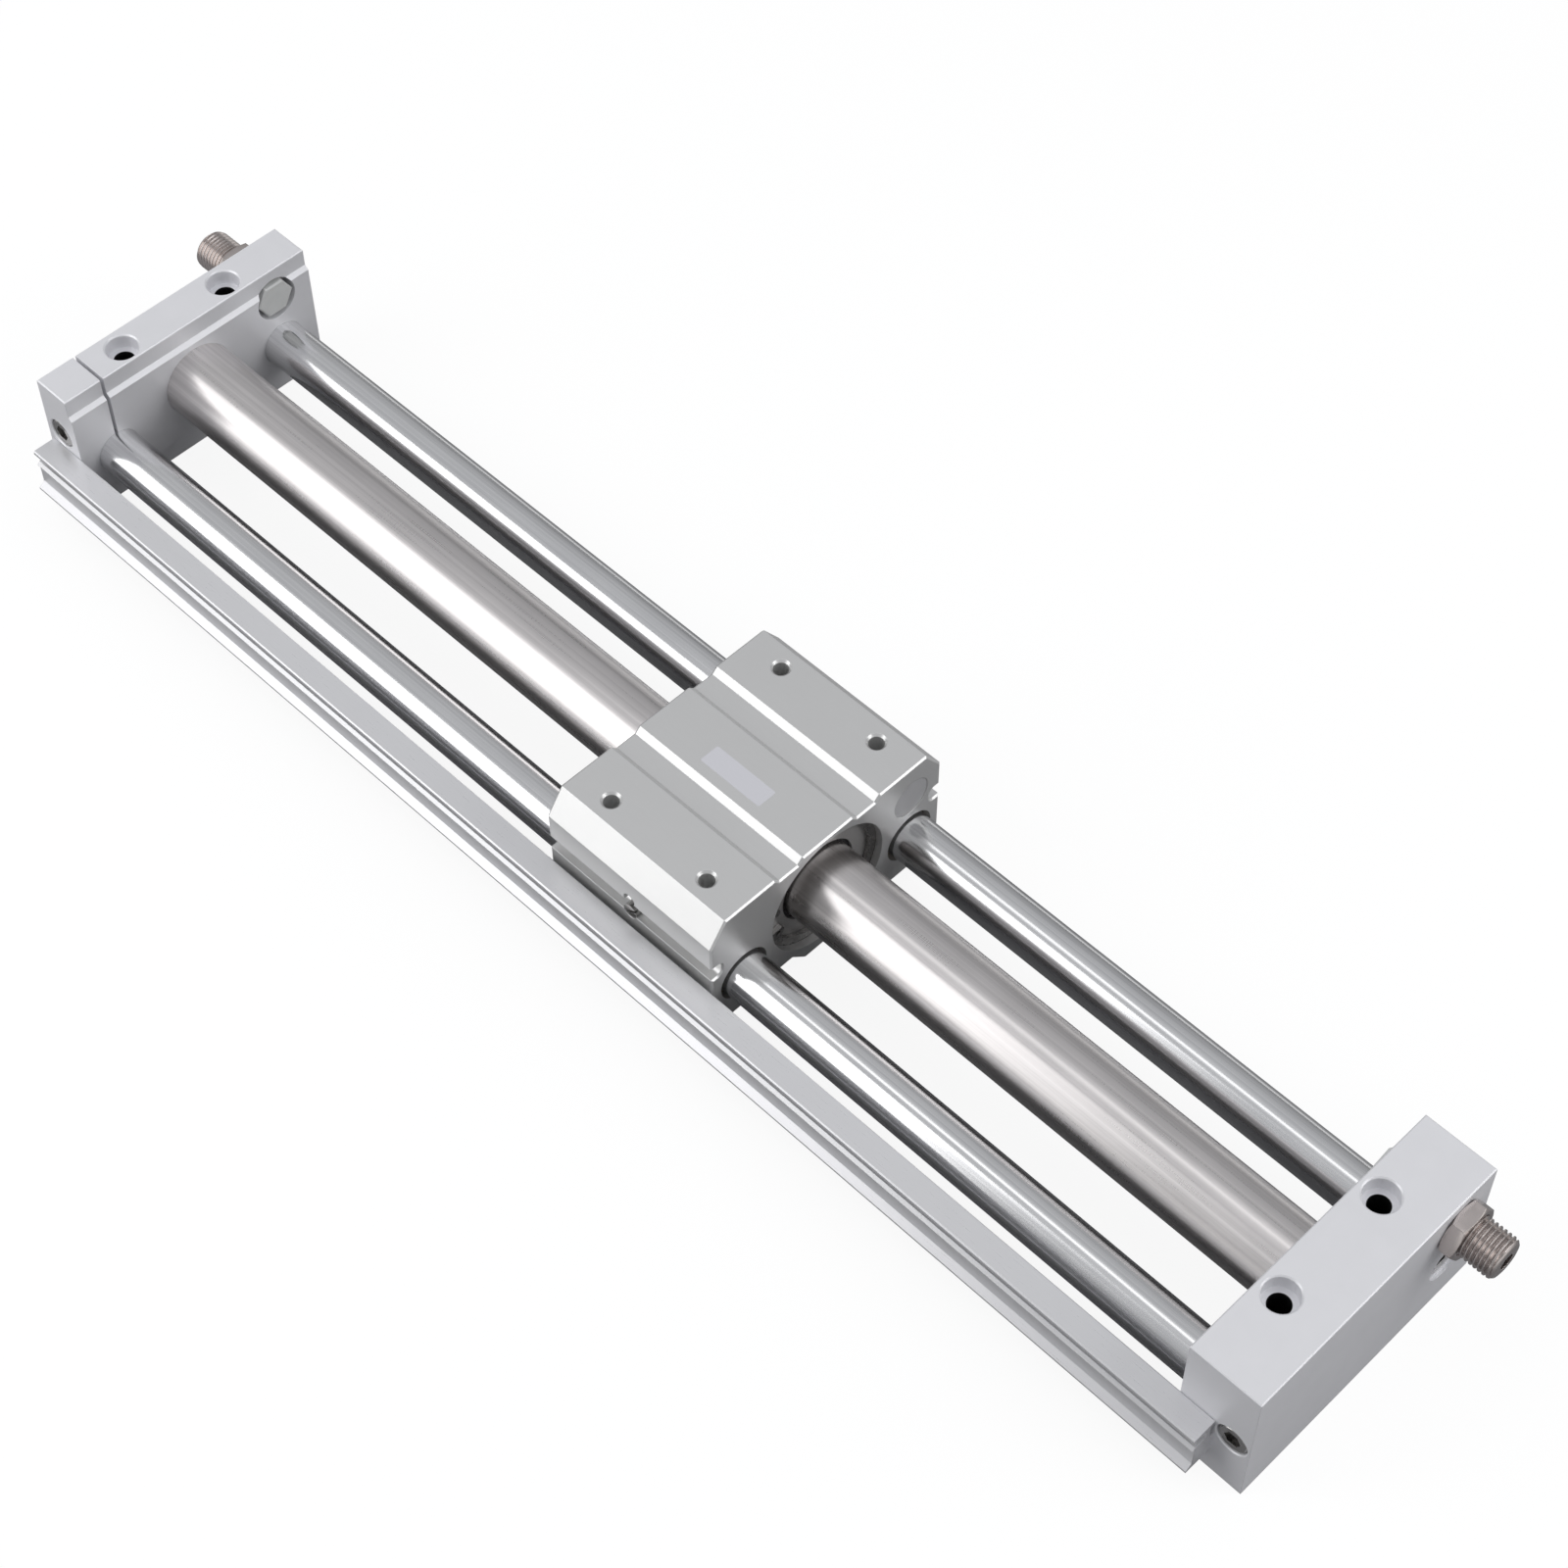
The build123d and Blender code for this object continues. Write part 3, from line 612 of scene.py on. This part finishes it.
def thread_profile(name, x_start, root, depth, pitch):
    """One pitch of thread outline above the X axis, as a chain of edges."""
    deselect()
    bpy.ops.mesh.primitive_grid_add(
        x_subdivisions=4, y_subdivisions=1, size=1, location=(0, 0, 0)
    )
    profile = bpy.context.active_object
    profile.name = name
    bpy.ops.object.mode_set(mode="EDIT")
    bpy.ops.mesh.select_mode(type="VERT")
    bpy.ops.mesh.select_all(action="DESELECT")
    leave_edit()
    for corner in profile.data.vertices:
        corner.select = corner.co.y > 0
    bpy.ops.object.mode_set(mode="EDIT")
    bpy.ops.mesh.delete(type="VERT")
    leave_edit()
    shares = (0.0, 0.08, 0.44, 0.64, 1.0)
    heights = (0.0, 0.0, depth, depth, 0.0)
    chain = sorted(profile.data.vertices, key=lambda corner: corner.co.x)
    for corner, share, height in zip(chain, shares, heights):
        corner.co = (x_start + share * pitch, 0, root + height)
    return profile


def threaded_rod(name, x_start, x_end, radius, y, z):
    """A closed rod with a helical thread between two planes across X."""
    sizes = bpy.context.scene.cylinder_fasteners
    turns = math.ceil((x_end - x_start) / sizes.pitch) + 2
    rod = thread_profile(
        name, x_start - sizes.pitch, radius - sizes.depth, sizes.depth, sizes.pitch
    )
    screw = rod.modifiers.new("thread", "SCREW")
    screw.axis = "X"
    screw.screw_offset = sizes.pitch
    screw.iterations = turns
    screw.steps = sizes.steps
    screw.render_steps = sizes.steps
    apply_modifier(rod, screw.name)
    rod.location = (0, y, z)
    apply_place(rod)
    tidy(rod)
    for plane_x, normal in ((x_start, (-1, 0, 0)), (x_end, (1, 0, 0))):
        activate(rod)
        bpy.ops.object.mode_set(mode="EDIT")
        bpy.ops.mesh.select_all(action="SELECT")
        bpy.ops.mesh.bisect(
            plane_co=(plane_x, y, z), plane_no=normal, use_fill=True, clear_outer=True,
            threshold=0.001 * MM,
        )
        leave_edit()
    tidy(rod)
    return rod


def hex_bar(name, x_start, x_end, flats, y, z, turn=0.0):
    """A hexagonal bar along X, turned about its axis."""
    bar = bar_along_x(name, x_start, x_end, flats / math.sqrt(3), 0, 0, sides=6)
    bar.rotation_euler = (turn, 0, 0)
    bar.location = (0, y, z)
    apply_place(bar)
    return bar


def make_stop_bolt(end, outward, material):
    """Threaded bolt with chamfered tip, hex socket and the nose that enters the bumper."""
    sizes = bpy.context.scene.cylinder_fasteners
    low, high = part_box(f"stop_bolt_{end}")
    y, z = (low.y + high.y) / 2, (low.z + high.z) / 2
    radius = (high.y - low.y) / 2
    nose, depth = outward * sizes.nose, outward * sizes.bolt_socket_depth
    tip = high.x if outward > 0 else low.x
    root = (low.x if outward > 0 else high.x) + nose
    rod = threaded_rod(f"threaded_bolt_{end}", min(tip, root), max(tip, root), radius, y, z)
    hull = bar_along_x("hull", root - nose, tip, radius + sizes.hull_gap, y, z)
    edit_faces(hull, lambda normal: normal.x * outward > 0.9)
    bpy.ops.mesh.bevel(offset=sizes.bolt_chamfer, segments=3, profile=0.5, affect="EDGES")
    leave_edit()
    combine(rod, hull, "INTERSECT")
    nose_bar = bar_along_x("nose", root - nose, root + nose, sizes.nose_radius, y, z, 48)
    combine(rod, nose_bar, "UNION")
    socket = hex_bar("socket", tip - depth, tip + depth, sizes.bolt_socket, y, z)
    combine(rod, socket, "DIFFERENCE")
    tidy(rod)
    smooth(rod, 40)
    finish_piece(rod, f"stop_bolt_{end}", "fastener_steel", material, f"stop_bolt_{end}")


def make_lock_nut(end, turn, material):
    """Hex nut with coned corners and a countersunk bore."""
    sizes = bpy.context.scene.cylinder_fasteners
    low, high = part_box(f"lock_nut_{end}")
    y, z = (low.y + high.y) / 2, (low.z + high.z) / 2
    bolt_low, bolt_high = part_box(f"stop_bolt_{end}")
    bore = (bolt_high.y - bolt_low.y) / 2 + sizes.nut_gap
    corner = sizes.nut_flats / math.sqrt(3)
    nut = hex_bar(f"hex_nut_{end}", low.x, high.x, sizes.nut_flats, y, z, turn)
    # The drum's round side passes just outside the corners, so only its cones cut them
    drum = bar_along_x(
        "drum", low.x + sizes.nut_cone, high.x - sizes.nut_cone, corner * 1.001, y, z, 128
    )
    hole = bar_along_x("hole", low.x + sizes.nut_sink, high.x - sizes.nut_sink, bore, y, z, 96)
    flare = 1 + 2 * sizes.nut_sink / bore
    for way, face in ((-1, low.x), (1, high.x)):
        edit_faces(drum, lambda normal: normal.x * way > 0.9)
        bpy.ops.mesh.inset(thickness=corner - sizes.nut_flats / 2)
        bpy.ops.transform.translate(value=(way * sizes.nut_cone, 0, 0))
        leave_edit()
        edit_faces(hole, lambda normal: normal.x * way > 0.9)
        reach = (way * 2 * sizes.nut_sink, 0, 0)
        bpy.ops.mesh.extrude_region_move(TRANSFORM_OT_translate={"value": reach})
        bpy.ops.transform.resize(value=(1, flare, flare), center_override=(face, y, z))
        leave_edit()
    combine(nut, drum, "INTERSECT")
    combine(nut, hole, "DIFFERENCE")
    tidy(nut)
    bevel_edges(nut, sizes.nut_bevel, 25)
    smooth(nut, 30)
    finish_piece(nut, f"lock_nut_{end}", "fastener_steel", material, f"lock_nut_{end}")


def make_round_bar(node, slot, material, chamfer, bore=0.0):
    """Smooth turned bar or tube of the frame that stands for the node's."""
    low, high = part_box(node)
    y, z, radius = (low.y + high.y) / 2, (low.z + high.z) / 2, (high.y - low.y) / 2
    sides = bpy.context.scene.cylinder_bars.sides
    bar = bar_along_x(f"{node}_turned", low.x, high.x, radius, y, z, sides)
    edit_faces(bar, lambda normal: abs(normal.x) > 0.9)
    if bore:
        bpy.ops.mesh.inset(thickness=radius - bore)
        bpy.ops.mesh.bridge_edge_loops()
        leave_edit()
        tidy(bar)
        edit_faces(bar, lambda normal: abs(normal.x) > 0.9)
    bpy.ops.mesh.bevel(offset=chamfer, segments=1, affect="EDGES")
    leave_edit()
    # Smoothed over the chamfer, the long faces' normals would lean towards the ends
    smooth(bar, 10)
    finish_piece(bar, "frame", slot, material, node)


class CYLINDER_OT_stop_bolts(bpy.types.Operator):
    """Model the two threaded stop bolts"""

    bl_idname = "cylinder.stop_bolts"
    bl_label = "Stop Bolts"

    def execute(self, context):
        material = plated_steel("bolt_nickel", context.scene.cylinder_finishes.bolt, 0.24)
        make_stop_bolt("left", -1, material)
        make_stop_bolt("right", 1, material)
        return {"FINISHED"}


class CYLINDER_OT_lock_nuts(bpy.types.Operator):
    """Model the two lock nuts"""

    bl_idname = "cylinder.lock_nuts"
    bl_label = "Lock Nuts"

    def execute(self, context):
        sizes = context.scene.cylinder_fasteners
        material = plated_steel("nut_nickel", context.scene.cylinder_finishes.bolt, 0.22)
        make_lock_nut("left", sizes.nut_turn_left, material)
        make_lock_nut("right", sizes.nut_turn_right, material)
        return {"FINISHED"}


class CYLINDER_OT_round_bars(bpy.types.Operator):
    """Model the guide shafts and the cylinder tube"""

    bl_idname = "cylinder.round_bars"
    bl_label = "Shafts and Tube"

    def execute(self, context):
        sizes = context.scene.cylinder_bars
        colours = context.scene.cylinder_finishes
        for row in ("front", "rear"):
            node = f"guide_shaft_{row}"
            chrome = polished_bar(
                f"hard_chrome_{row}", colours.chrome, 0.17, 1.1 * MM, 0.45, node_centre(node)
            )
            make_round_bar(node, "shaft_chrome", chrome, sizes.shaft_chamfer)
        steel = polished_bar(
            "drawn_stainless", colours.tube, 0.29, 1.8 * MM, 0.50, node_centre("cylinder_tube")
        )
        make_round_bar(
            "cylinder_tube", "tube_steel", steel, sizes.tube_chamfer, sizes.tube_bore
        )
        return {"FINISHED"}


class CYLINDER_OT_label(bpy.types.Operator):
    """Model the bare label on the slide block"""

    bl_idname = "cylinder.label"
    bl_label = "Bare Label"

    def execute(self, context):
        sizes = context.scene.cylinder_label
        low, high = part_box("slide_block")
        centre = Vector(((low.x + high.x) / 2, -sizes.offset, high.z))
        deselect()
        bpy.ops.mesh.primitive_plane_add(size=1, location=centre)
        label = context.active_object
        label.name = "bare_label"
        label.scale = (sizes.length, sizes.width, 1)
        apply_place(label)
        bpy.ops.object.mode_set(mode="EDIT")
        bpy.ops.mesh.select_all(action="SELECT")
        bpy.ops.mesh.bevel(offset=sizes.corner, segments=4, affect="VERTICES")
        bpy.ops.mesh.select_all(action="SELECT")
        bpy.ops.mesh.extrude_region_move(
            TRANSFORM_OT_translate={"value": (0, 0, sizes.thickness)}
        )
        bpy.ops.mesh.select_all(action="SELECT")
        bpy.ops.mesh.normals_make_consistent(inside=False)
        leave_edit()
        material = paper_film("label_film", sizes.colour)
        finish_piece(label, "carriage", "pad_resin", material)
        return {"FINISHED"}


class CYLINDER_OT_finishes(bpy.types.Operator):
    """Give every carried-over piece its finish"""

    bl_idname = "cylinder.finishes"
    bl_label = "Finishes"

    def execute(self, context):
        colours = context.scene.cylinder_finishes
        base = next(m for m in frame["record"]["mounts"] if m["name"] == "base_holes")["dims"]
        holes = (base["spacing_x_mm"] / 2 * MM, base["spacing_y_mm"] / 2 * MM)
        bore = (base["hole_r_mm"] + 0.15) * MM
        finishes = {
            "plate_aluminium": blasted_aluminium("blasted_plate", colours.plate, holes, bore),
            "block_aluminium": drawn_aluminium("anodised_block", colours.block, 0.34, 0.65),
            "rail_aluminium": drawn_aluminium(
                "extruded_rail", colours.rail, 0.30, 0.45, 0.12 * MM
            ),
            "tube_steel": plated_steel("sleeve_steel", (0.60, 0.59, 0.58)),
            "shaft_chrome": plated_steel("shaft_core", (0.80, 0.81, 0.84), 0.15),
            "fastener_steel": plated_steel("zinc_fastener", (0.42, 0.40, 0.38)),
            "plug_steel": plated_steel("nickel_plug", (0.50, 0.49, 0.48), 0.20),
            "ring_steel": plated_steel("spring_ring", (0.42, 0.41, 0.40), 0.28),
            "yoke_steel": plated_steel("rolled_yoke", (0.52, 0.52, 0.54)),
            "magnet": plated_steel("coated_magnet", (0.30, 0.30, 0.32), 0.35),
            "holder_aluminium": drawn_aluminium("turned_holder", (0.55, 0.54, 0.53), 0.30),
            "piston_aluminium": drawn_aluminium("turned_piston", (0.58, 0.58, 0.50), 0.30),
            "seal_rubber": moulded("nitrile_rubber", (0.025, 0.025, 0.026), 0.5),
            "bumper_urethane": moulded("hard_urethane", (0.66, 0.67, 0.66), 0.35),
            "bearing_resin": moulded("bearing_resin", (0.10, 0.10, 0.10), 0.5),
            "bushing_metal": plated_steel("sintered_bushing", (0.30, 0.27, 0.22), 0.4),
            "pad_resin": moulded("pad_resin", (0.42, 0.42, 0.43), 0.4),
        }
        for entry in frame["record"]["subparts"]:
            node = nodes[entry["node"]]
            node.data.materials.clear()
            node.data.materials.append(finishes[entry["material_slot"]])
        return {"FINISHED"}


def soft_lamp(name, centre, aim, width, height, brightness):
    """A rectangular lamp that looks as bright as brightness; its width runs level."""
    lamp = bpy.data.lights.new(name, "AREA")
    lamp.shape = "RECTANGLE"
    lamp.size = width
    lamp.size_y = height
    lamp.energy = brightness * math.pi * width * height
    stand = bpy.data.objects.new(name, lamp)
    bpy.context.scene.collection.objects.link(stand)
    backward = (Vector(centre) - Vector(aim)).normalized()
    level = Vector((0, 0, 1)).cross(backward)
    across = level.normalized() if level.length > 0 else Vector((1, 0, 0))
    turn = Matrix((across, backward.cross(across), backward)).transposed().to_4x4()
    stand.matrix_world = Matrix.Translation(Vector(centre)) @ turn


def studio_room(horizon, ceiling):
    """A room that is dim at the horizon and brighter overhead, and white to the camera."""
    world = bpy.data.worlds.new("studio_room")
    bpy.context.scene.world = world
    room = Shading(world)
    direction = room.add("ShaderNodeTexCoord", {}, {}, "Generated")
    height = room.add("ShaderNodeSeparateXYZ", {}, {"Vector": direction}, "Z").clamped()
    seen = room.add("ShaderNodeLightPath", {}, {}, "Is Camera Ray")
    background = room.find("BACKGROUND")
    room.give(background.inputs["Color"], (0.965, 0.975, 1.0))
    light = height ** 0.6 * (ceiling - horizon) + horizon
    room.give(background.inputs["Strength"], light.largest(seen))


def outside(finish, box):
    """How far a point of the floor is outside a box, and less than 0 where it is under it."""
    low, high = box
    middle, reach = (low + high) / 2, (high - low) / 2
    where = finish.place()
    x = finish.add("ShaderNodeSeparateXYZ", {}, {"Vector": where}, "X")
    y = finish.add("ShaderNodeSeparateXYZ", {}, {"Vector": where}, "Y")
    return (abs(x - middle.x) - reach.x).largest(abs(y - middle.y) - reach.y)


def foot(end, inset):
    """The box of an end plate without the spigot and the step on its inner side."""
    low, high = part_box(f"end_plate_{end}")
    return (low, high - inset) if end == "left" else (low + inset, high)


def floor_finish(sizes):
    """White with a soft shadow where it is seen or mirrored, and a plain grey as a light.

    Under the plates' feet no light gets in, so a shadow is painted there in black. A mirrored
    floor lies at a low angle, so close to the object a painted shadow makes it deeper.
    """
    finish = Finish("studio_floor")
    path = finish.tree.nodes.new("ShaderNodeLightPath")
    camera, glossy, transmission = (
        Wire(finish, path.outputs[f"Is {kind} Ray"])
        for kind in ("Camera", "Glossy", "Transmission")
    )
    grain = finish.noise(finish.place(), 30 * MM)
    tone = finish.blend(grain, tinted(sizes.floor, 0.98), sizes.floor)
    grey = finish.add("ShaderNodeBsdfDiffuse", {}, {"Color": tone})
    shadowed = finish.add("ShaderNodeBsdfDiffuse", {}, {"Color": (sizes.shade,) * 3})
    inset = Vector((sizes.foot_inset, 0, 0))
    # Painted shadow: the floor's glow is cut to black under the plates' feet
    under = sum(outside(finish, foot(end, inset)).fading(0.1 * MM) for end in ("left", "right"))
    glow = finish.blend(under.clamped(), (1, 1, 1), (0, 0, 0))
    strength = 1 - sizes.shade * sizes.open_light
    white = finish.add("ShaderNodeEmission", {}, {"Color": glow, "Strength": strength})
    pale = finish.add("ShaderNodeAddShader", {}, {0: shadowed, 1: white})
    # Painted shadow: in a mirror the floor close to the object's box turns to the plain grey,
    # fading out at the shadow's reach
    painted_mirror_shadow = outside(finish, cad_box).fading(sizes.reach) * glossy * sizes.depth
    deep = finish.add("ShaderNodeMixShader", {}, {0: painted_mirror_shadow, 1: pale, 2: grey})
    seen = (camera + glossy + transmission).clamped()
    mixed = finish.add("ShaderNodeMixShader", {}, {0: seen, 1: grey, 2: deep})
    finish.give(finish.find("OUTPUT_MATERIAL").inputs["Surface"], mixed)
    return finish.material


# Each lamp's name, centre, aim, width and height in metres, and its brightness setting
LAMPS = (
    ("front_softbox", (-0.79, -1.06, 0.62), (-0.79, 0, 0.03), 1.03, 1.58, "front_lamp"),
    ("top_strip", (-0.12, -0.06, 1.45), (-0.12, -0.06, 0), 1.0, 0.24, "top_lamp"),
    ("side_softbox", (1.16, 0.58, 0.70), (0, 0, 0.03), 0.75, 1.1, "side_lamp"),
)


class CYLINDER_OT_studio(bpy.types.Operator):
    """Set up the floor, the soft lamps, the room and the camera"""

    bl_idname = "cylinder.studio"
    bl_label = "Studio"

    def execute(self, context):
        sizes = context.scene.cylinder_studio
        ground = cad_box[0].z
        deselect()
        bpy.ops.mesh.primitive_plane_add(size=12, location=(0, 0, ground))
        floor = context.active_object
        floor.name = "studio_floor"
        floor.data.materials.append(floor_finish(sizes))
        studio_room(sizes.horizon, sizes.ceiling)
        for name, centre, aim, width, height, lamp in LAMPS:
            soft_lamp(name, centre, aim, width, height, getattr(sizes, lamp))
        back = Vector((
            math.sin(sizes.azimuth) * math.cos(sizes.elevation),
            -math.cos(sizes.azimuth) * math.cos(sizes.elevation),
            math.sin(sizes.elevation),
        ))
        right = (-back).cross(Vector((0, 0, 1))).normalized()
        up = back.cross(right)
        across = right * math.cos(sizes.roll) + up * math.sin(sizes.roll)
        upward = up * math.cos(sizes.roll) - right * math.sin(sizes.roll)
        lens = bpy.data.cameras.new("photo_camera")
        lens.lens = sizes.lens
        lens.sensor_width = 36
        lens.shift_x = sizes.shift_x
        lens.shift_y = sizes.shift_y
        camera = bpy.data.objects.new("photo_camera", lens)
        context.scene.collection.objects.link(camera)
        turn = Matrix((across, upward, back)).transposed().to_4x4()
        place = Vector(sizes.target) + back * sizes.distance
        camera.matrix_world = Matrix.Translation(place) @ turn
        context.scene.camera = camera
        context.scene.view_settings.view_transform = "Standard"
        return {"FINISHED"}


OPERATORS = (
    CYLINDER_OT_stop_bolts,
    CYLINDER_OT_lock_nuts,
    CYLINDER_OT_round_bars,
    CYLINDER_OT_label,
    CYLINDER_OT_finishes,
    CYLINDER_OT_studio,
)


class CYLINDER_PT_looks(bpy.types.Panel):
    """Lists the steps that dress the cylinder"""

    bl_label = "Rodless Cylinder"
    bl_idname = "CYLINDER_PT_looks"
    bl_space_type = "VIEW_3D"
    bl_region_type = "UI"
    bl_category = "Cylinder"

    def draw(self, context):
        for operator in OPERATORS:
            self.layout.operator(operator.bl_idname)
        for group in GROUPS:
            box = self.layout.box()
            settings = getattr(context.scene, group)
            for key in GROUPS[group].__annotations__:
                box.prop(settings, key)


GROUPS = {
    "cylinder_fasteners": CylinderFasteners,
    "cylinder_bars": CylinderBars,
    "cylinder_label": CylinderLabel,
    "cylinder_finishes": CylinderFinishes,
    "cylinder_studio": CylinderStudio,
}


def register():
    for group, kind in GROUPS.items():
        bpy.utils.register_class(kind)
        setattr(bpy.types.Scene, group, PointerProperty(type=kind))
    for kind in (*OPERATORS, CYLINDER_PT_looks):
        bpy.utils.register_class(kind)


def unregister():
    for kind in (CYLINDER_PT_looks, *reversed(OPERATORS)):
        bpy.utils.unregister_class(kind)
    for group, kind in GROUPS.items():
        delattr(bpy.types.Scene, group)
        bpy.utils.unregister_class(kind)


def main():
    register()
    for operator in OPERATORS:
        group, step = operator.bl_idname.split(".")
        getattr(getattr(bpy.ops, group), step)()


if __name__ == "__main__":
    main()
